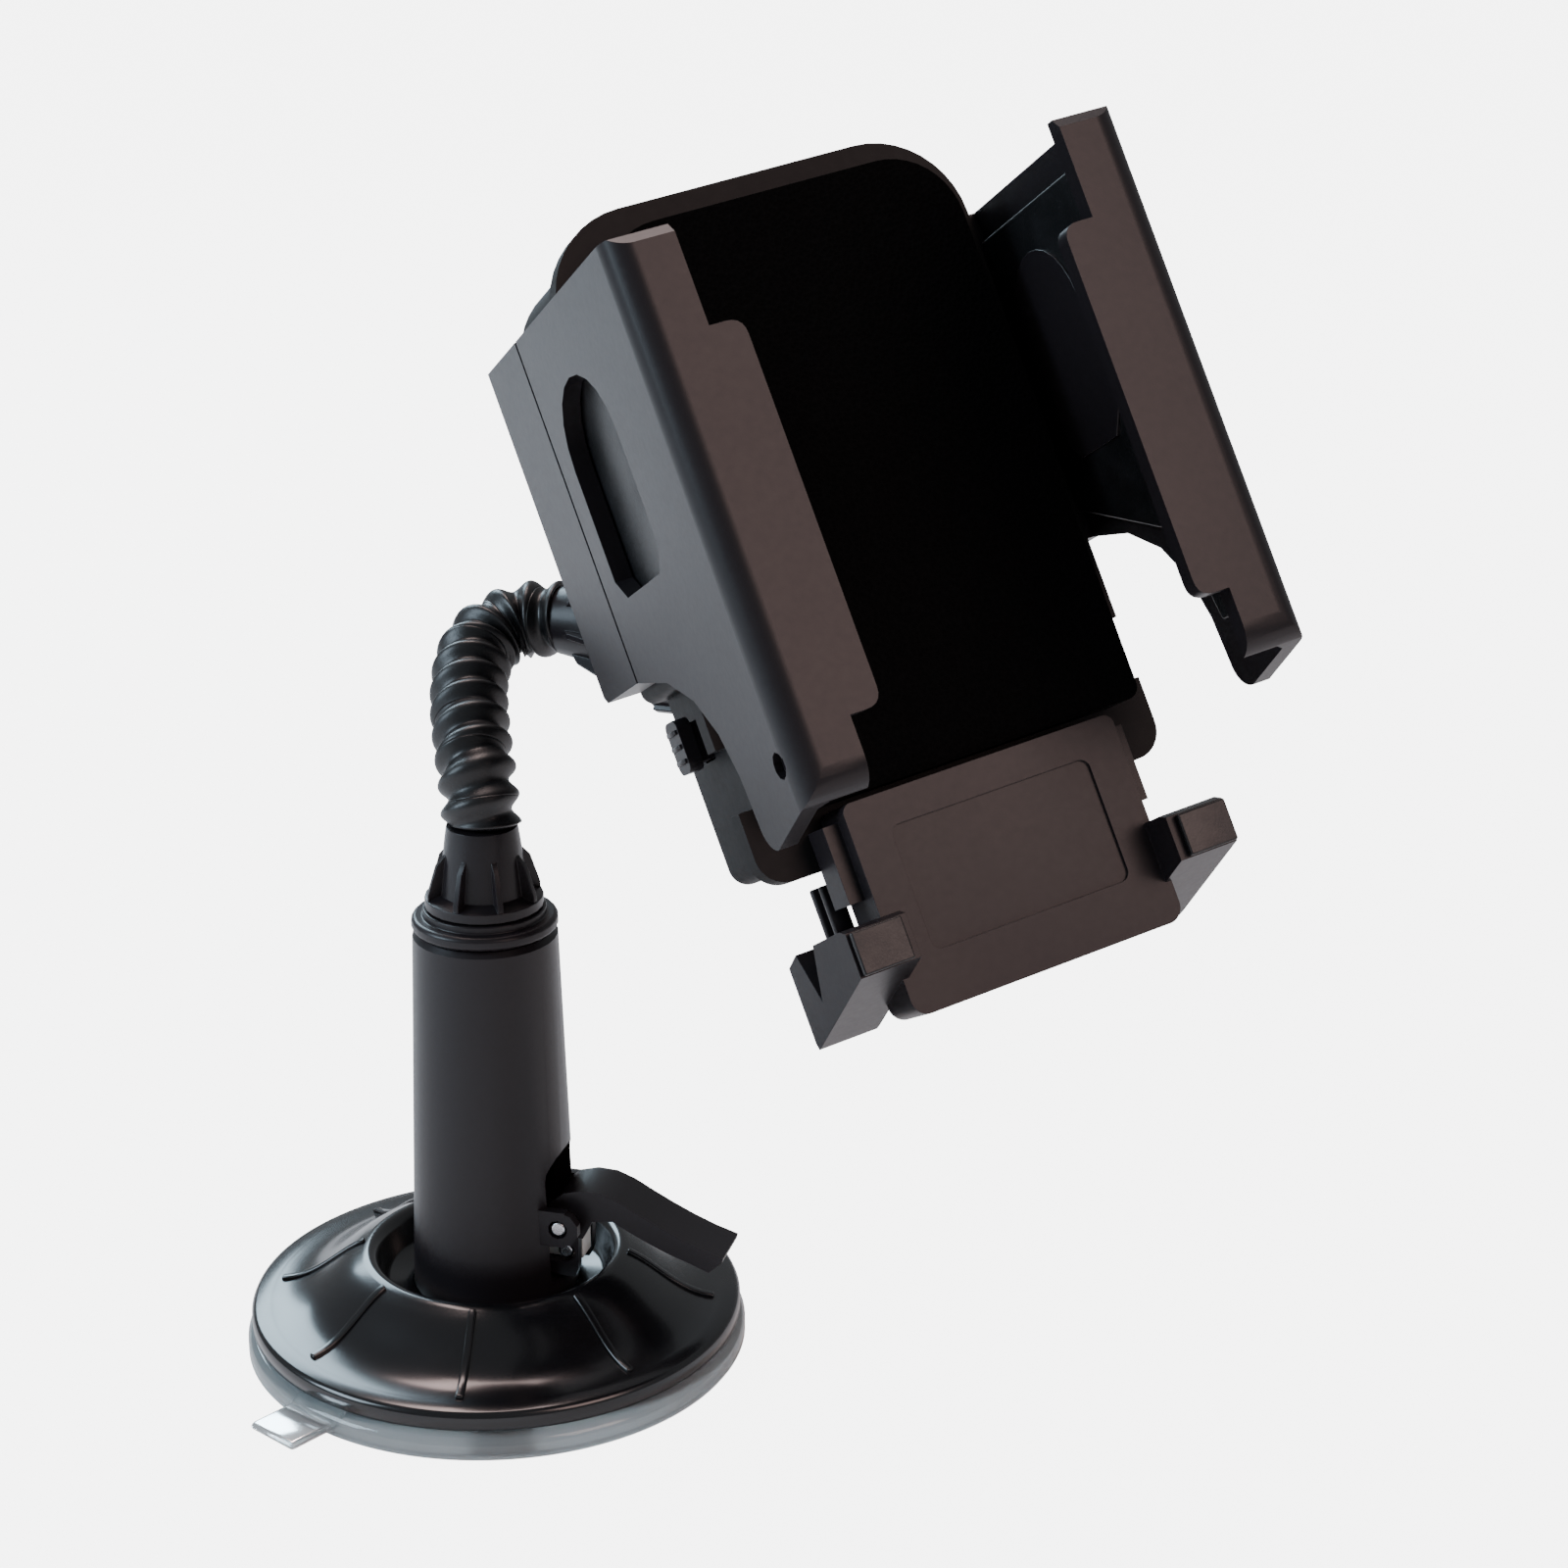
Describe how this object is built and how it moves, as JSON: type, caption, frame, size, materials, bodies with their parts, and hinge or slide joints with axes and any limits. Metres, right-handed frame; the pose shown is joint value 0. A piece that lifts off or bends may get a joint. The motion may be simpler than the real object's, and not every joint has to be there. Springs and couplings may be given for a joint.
{
  "type": "car phone mount",
  "caption": "Suction-cup car phone mount: locking lever base, short flexible neck, ball head and a tilted cradle with sprung side arms, foam pad and sliding foot.",
  "frame": {"origin": "centre of the suction face", "axes": "+Z away from the surface the cup is stuck to, up the column; -Y the side that the phone cradle faces; +X to the right seen from the front"},
  "size_m": [0.1409, 0.1261, 0.1984],
  "materials": {
    "clear_vinyl": "clear soft vinyl, smooth",
    "gloss_black": "polished black plastic",
    "satin_black": "satin black moulded plastic",
    "black_plastic": "fine textured black plastic",
    "foam": "matt black foam",
    "black_rubber": "satin black rubber",
    "polished_steel": "bright plated steel",
    "nylon": "natural nylon"
  },
  "bodies": {
    "base": {"base_dome": "gloss_black", "suction_cup": "clear_vinyl", "column": "satin_black", "lever_pivot_pin": "polished_steel", "plunger_spring": "polished_steel", "column_screw_1": "polished_steel", "column_screw_2": "polished_steel", "column_screw_3": "polished_steel", "collar_ring": "satin_black", "neck_washer": "nylon"},
    "lever": {"lock_lever": "satin_black"},
    "plunger": {"plunger": "nylon", "cam_roller_pin": "polished_steel"},
    "neck_foot": {"lower_ferrule": "satin_black", "neck_bolt": "polished_steel"},
    "neck_1": {"neck_segment_1": "black_rubber"},
    "neck_2": {"neck_segment_2": "black_rubber"},
    "neck_3": {"neck_segment_3": "black_rubber"},
    "neck_4": {"neck_segment_4": "black_rubber"},
    "neck_5": {"neck_segment_5": "black_rubber"},
    "neck_6": {"neck_segment_6": "black_rubber"},
    "neck_7": {"neck_segment_7": "black_rubber"},
    "neck_end": {"upper_ferrule": "satin_black", "ball_stud": "polished_steel"},
    "head_liner": {"ball_liner": "nylon"},
    "head_socket": {"swivel_bracket": "satin_black", "clamp_nut": "satin_black"},
    "cradle": {"rear_housing": "black_plastic", "back_plate": "black_plastic", "plate_screw_1": "polished_steel", "plate_screw_2": "polished_steel", "plate_screw_3": "polished_steel", "plate_screw_4": "polished_steel", "foam_pad": "foam", "pinion_axle": "polished_steel", "arm_opening_spring": "polished_steel", "right_button_spring": "polished_steel", "left_button_spring": "polished_steel", "hub_screw": "polished_steel", "hub_nut": "polished_steel"},
    "right_arm": {"right_arm": "satin_black", "right_grip_pad": "black_rubber", "right_rack": "nylon", "right_arm_screw": "polished_steel"},
    "left_arm": {"left_arm": "satin_black", "left_grip_pad": "black_rubber", "left_rack": "nylon", "left_arm_screw": "polished_steel"},
    "pinion": {"pinion": "nylon"},
    "right_button": {"right_release_button": "satin_black"},
    "left_button": {"left_release_button": "satin_black"},
    "pawl": {"ratchet_pawl": "nylon"},
    "foot": {"foot_slider": "satin_black", "right_foot_tip": "black_rubber", "left_foot_tip": "black_rubber"}
  },
  "joints": [
    {"name": "lever_throw", "type": "hinge", "parent": "base", "child": "lever", "pos_m": [0.01068, -0.00776, 0.024], "axis": [-0.5878, -0.809, 0], "range_deg": [0, 70]},
    {"name": "plunger_lift", "type": "slide", "parent": "base", "child": "plunger", "axis": [0, 0, 1], "range_m": [-0.002, 0]},
    {"name": "neck_swivel", "type": "hinge", "parent": "base", "child": "neck_foot", "pos_m": [0, 0, 0.0749], "axis": [0, 0, 1], "range_deg": [-175, 175]},
    {"name": "neck_bend_1", "type": "hinge", "parent": "neck_foot", "child": "neck_1", "pos_m": [0, 0, 0.0879], "axis": [-0.9954, 0.0959, 0], "range_deg": [-4, 4], "deforming": ["neck_segment_1"]},
    {"name": "neck_bend_2", "type": "hinge", "parent": "neck_1", "child": "neck_2", "pos_m": [0.00038, 0.00313, 0.09441], "axis": [-0.9782, 0.199, -0.0596], "range_deg": [-4, 4], "deforming": ["neck_segment_1", "neck_segment_2"]},
    {"name": "neck_bend_3", "type": "hinge", "parent": "neck_2", "child": "neck_3", "pos_m": [0.00136, 0.00892, 0.09891], "axis": [-0.8803, 0.365, -0.3031], "range_deg": [-4, 4], "deforming": ["neck_segment_2", "neck_segment_3"]},
    {"name": "neck_bend_4", "type": "hinge", "parent": "neck_3", "child": "neck_4", "pos_m": [0.00288, 0.01527, 0.10242], "axis": [-0.4681, 0.4986, -0.7296], "range_deg": [-4, 4], "deforming": ["neck_segment_3", "neck_segment_4"]},
    {"name": "neck_bend_5", "type": "hinge", "parent": "neck_4", "child": "neck_5", "pos_m": [0.00518, 0.02164, 0.10544], "axis": [0.04, 0.4062, -0.9129], "range_deg": [-4, 4], "deforming": ["neck_segment_4", "neck_segment_5"]},
    {"name": "neck_bend_6", "type": "hinge", "parent": "neck_5", "child": "neck_6", "pos_m": [0.00903, 0.02726, 0.10826], "axis": [0.2536, 0.2764, -0.927], "range_deg": [-4, 4], "deforming": ["neck_segment_5", "neck_segment_6"]},
    {"name": "neck_bend_7", "type": "hinge", "parent": "neck_6", "child": "neck_7", "pos_m": [0.01557, 0.02845, 0.11057], "axis": [0.2827, 0.1887, -0.9405], "range_deg": [-4, 4], "deforming": ["neck_segment_6", "neck_segment_7"]},
    {"name": "neck_bend_8", "type": "hinge", "parent": "neck_7", "child": "neck_end", "pos_m": [0.02133, 0.02396, 0.11143], "axis": [0.2577, 0.1522, -0.9542], "range_deg": [-4, 4], "deforming": ["neck_segment_7"]},
    {"name": "head_pan", "type": "hinge", "parent": "neck_end", "child": "head_liner", "pos_m": [0.03508, 0.00854, 0.11268], "axis": [-0.0403, 0.0452, 0.9982], "range_deg": [-15, 15]},
    {"name": "head_tilt", "type": "hinge", "parent": "head_liner", "child": "head_socket", "pos_m": [0.03508, 0.00854, 0.11268], "axis": [-0.7464, -0.6655, 0], "range_deg": [-15, 15]},
    {"name": "head_roll", "type": "hinge", "parent": "head_socket", "child": "cradle", "pos_m": [0.04968, -0.00702, 0.13096], "axis": [0, -0.8838, 0.4679], "range_deg": [-180, 180]},
    {"name": "arm_spread", "type": "slide", "parent": "cradle", "child": "right_arm", "axis": [0.9826, 0.0869, 0.1641], "range_m": [0, 0.02]},
    {"name": "left_arm_spread", "type": "slide", "parent": "cradle", "child": "left_arm", "axis": [-0.9826, -0.0869, -0.1641], "range_m": [0, 0.02]},
    {"name": "pinion_spin", "type": "hinge", "parent": "cradle", "child": "pinion", "pos_m": [0.04523, -0.00394, 0.15601], "axis": [0, -0.8838, 0.4679], "range_deg": [-229.3, 0]},
    {"name": "right_button_press", "type": "slide", "parent": "cradle", "child": "right_button", "axis": [-0.9826, -0.0869, -0.1641], "range_m": [0, 0.0015], "stiffness_N_per_m": 300, "springref_m": -0.002},
    {"name": "left_button_press", "type": "slide", "parent": "cradle", "child": "left_button", "axis": [0.9826, 0.0869, 0.1641], "range_m": [0, 0.0015], "stiffness_N_per_m": 300, "springref_m": -0.002},
    {"name": "pawl_lift", "type": "slide", "parent": "cradle", "child": "pawl", "axis": [0.1857, -0.4598, -0.8684], "range_m": [0, 0.0015]},
    {"name": "foot_slide", "type": "slide", "parent": "cradle", "child": "foot", "axis": [0.1857, -0.4598, -0.8684], "range_m": [0, 0.022]}
  ],
  "couplings": [
    {"joint": "plunger_lift", "follows": "lever_throw", "m_per_rad": -0.001637},
    {"joint": "neck_bend_2", "follows": "neck_bend_1", "ratio": 1},
    {"joint": "neck_bend_3", "follows": "neck_bend_1", "ratio": 1},
    {"joint": "neck_bend_4", "follows": "neck_bend_1", "ratio": 1},
    {"joint": "neck_bend_5", "follows": "neck_bend_1", "ratio": 1},
    {"joint": "neck_bend_6", "follows": "neck_bend_1", "ratio": 1},
    {"joint": "neck_bend_7", "follows": "neck_bend_1", "ratio": 1},
    {"joint": "neck_bend_8", "follows": "neck_bend_1", "ratio": 1},
    {"joint": "left_arm_spread", "follows": "arm_spread", "ratio": 1},
    {"joint": "pinion_spin", "follows": "arm_spread", "rad_per_m": -200},
    {"joint": "pawl_lift", "follows": "right_button_press", "ratio": 1}
  ]
}
